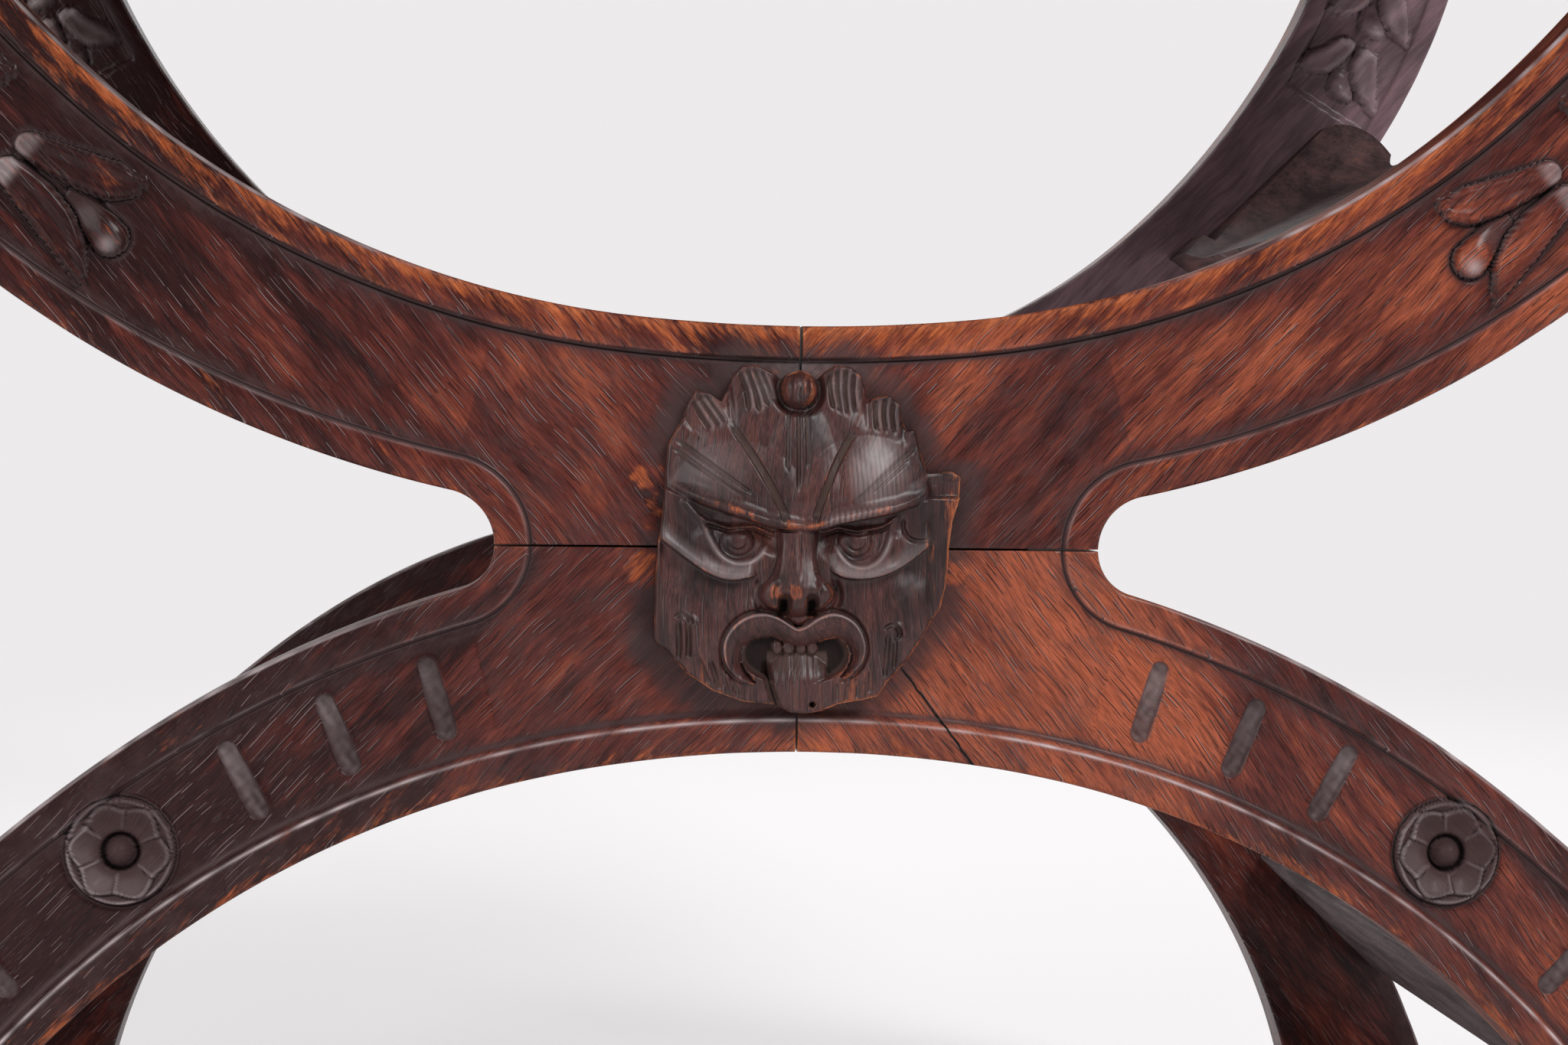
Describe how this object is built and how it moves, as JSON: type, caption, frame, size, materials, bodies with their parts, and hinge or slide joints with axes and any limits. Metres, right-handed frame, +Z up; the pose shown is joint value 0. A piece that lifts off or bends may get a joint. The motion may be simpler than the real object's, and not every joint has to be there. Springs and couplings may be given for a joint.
{
  "type": "savonarola armchair",
  "caption": "Carved oak armchair on two X-shaped frames of curved limbs, joined by side rails and a turned stretcher, with a boarded seat, flat arm rests and a lift-off back",
  "frame": {"origin": "on the floor, under the middle of the chair", "axes": "X across the chair, to the right when seen from the front; Y from front to back; Z up"},
  "size_m": [0.596, 0.51, 0.9219],
  "materials": {
    "carved_oak": "dark stained open-grain oak with wax, dusty recesses and worn edges",
    "plain_oak": "dark stained oak with a soft wax sheen",
    "blackened_oak": "nearly black carved oak with rubbed brown high points",
    "dowel_wood": "plain turned hardwood",
    "screw_iron": "dark oxidised iron"
  },
  "bodies": {
    "frame": {"front_arm_limb_left": "carved_oak", "front_arm_limb_right": "carved_oak", "front_leg_limb_left": "carved_oak", "front_leg_limb_right": "carved_oak", "rear_arm_limb_left": "carved_oak", "rear_arm_limb_right": "carved_oak", "rear_leg_limb_left": "carved_oak", "rear_leg_limb_right": "carved_oak", "crossing_dowels_front": "dowel_wood", "crossing_dowels_rear": "dowel_wood", "crossing_block_front": "plain_oak", "crossing_block_rear": "plain_oak", "crossing_block_screws": "screw_iron", "centre_stretcher": "plain_oak", "mask": "blackened_oak", "mask_pins": "dowel_wood", "upper_side_rail_left": "plain_oak", "upper_side_rail_right": "plain_oak", "lower_side_rail_left": "plain_oak", "lower_side_rail_right": "plain_oak", "side_rail_dowels": "dowel_wood", "seat_bearer_left": "plain_oak", "seat_bearer_right": "plain_oak", "seat_bearer_dowels": "dowel_wood", "seat_board_1": "plain_oak", "seat_board_2": "plain_oak", "seat_board_3": "plain_oak", "seat_board_4": "plain_oak", "seat_screws": "screw_iron", "seat_rail_front": "carved_oak", "seat_rail_rear": "plain_oak", "seat_rail_dowels": "dowel_wood", "arm_rest_left": "plain_oak", "arm_rest_right": "plain_oak", "arm_rest_pegs": "dowel_wood", "runner_foot_left": "plain_oak", "runner_foot_right": "plain_oak", "runner_pegs": "dowel_wood", "floor_glides": "dowel_wood"},
    "back": {"back_stile_left": "plain_oak", "back_stile_right": "plain_oak", "back_bottom_rail": "plain_oak", "back_crest_rail": "carved_oak", "back_panel": "carved_oak"}
  },
  "joints": [
    {"name": "back_lift", "type": "slide", "parent": "frame", "child": "back", "axis": [0, 0, 1], "range_m": [0, 0.045]}
  ]
}
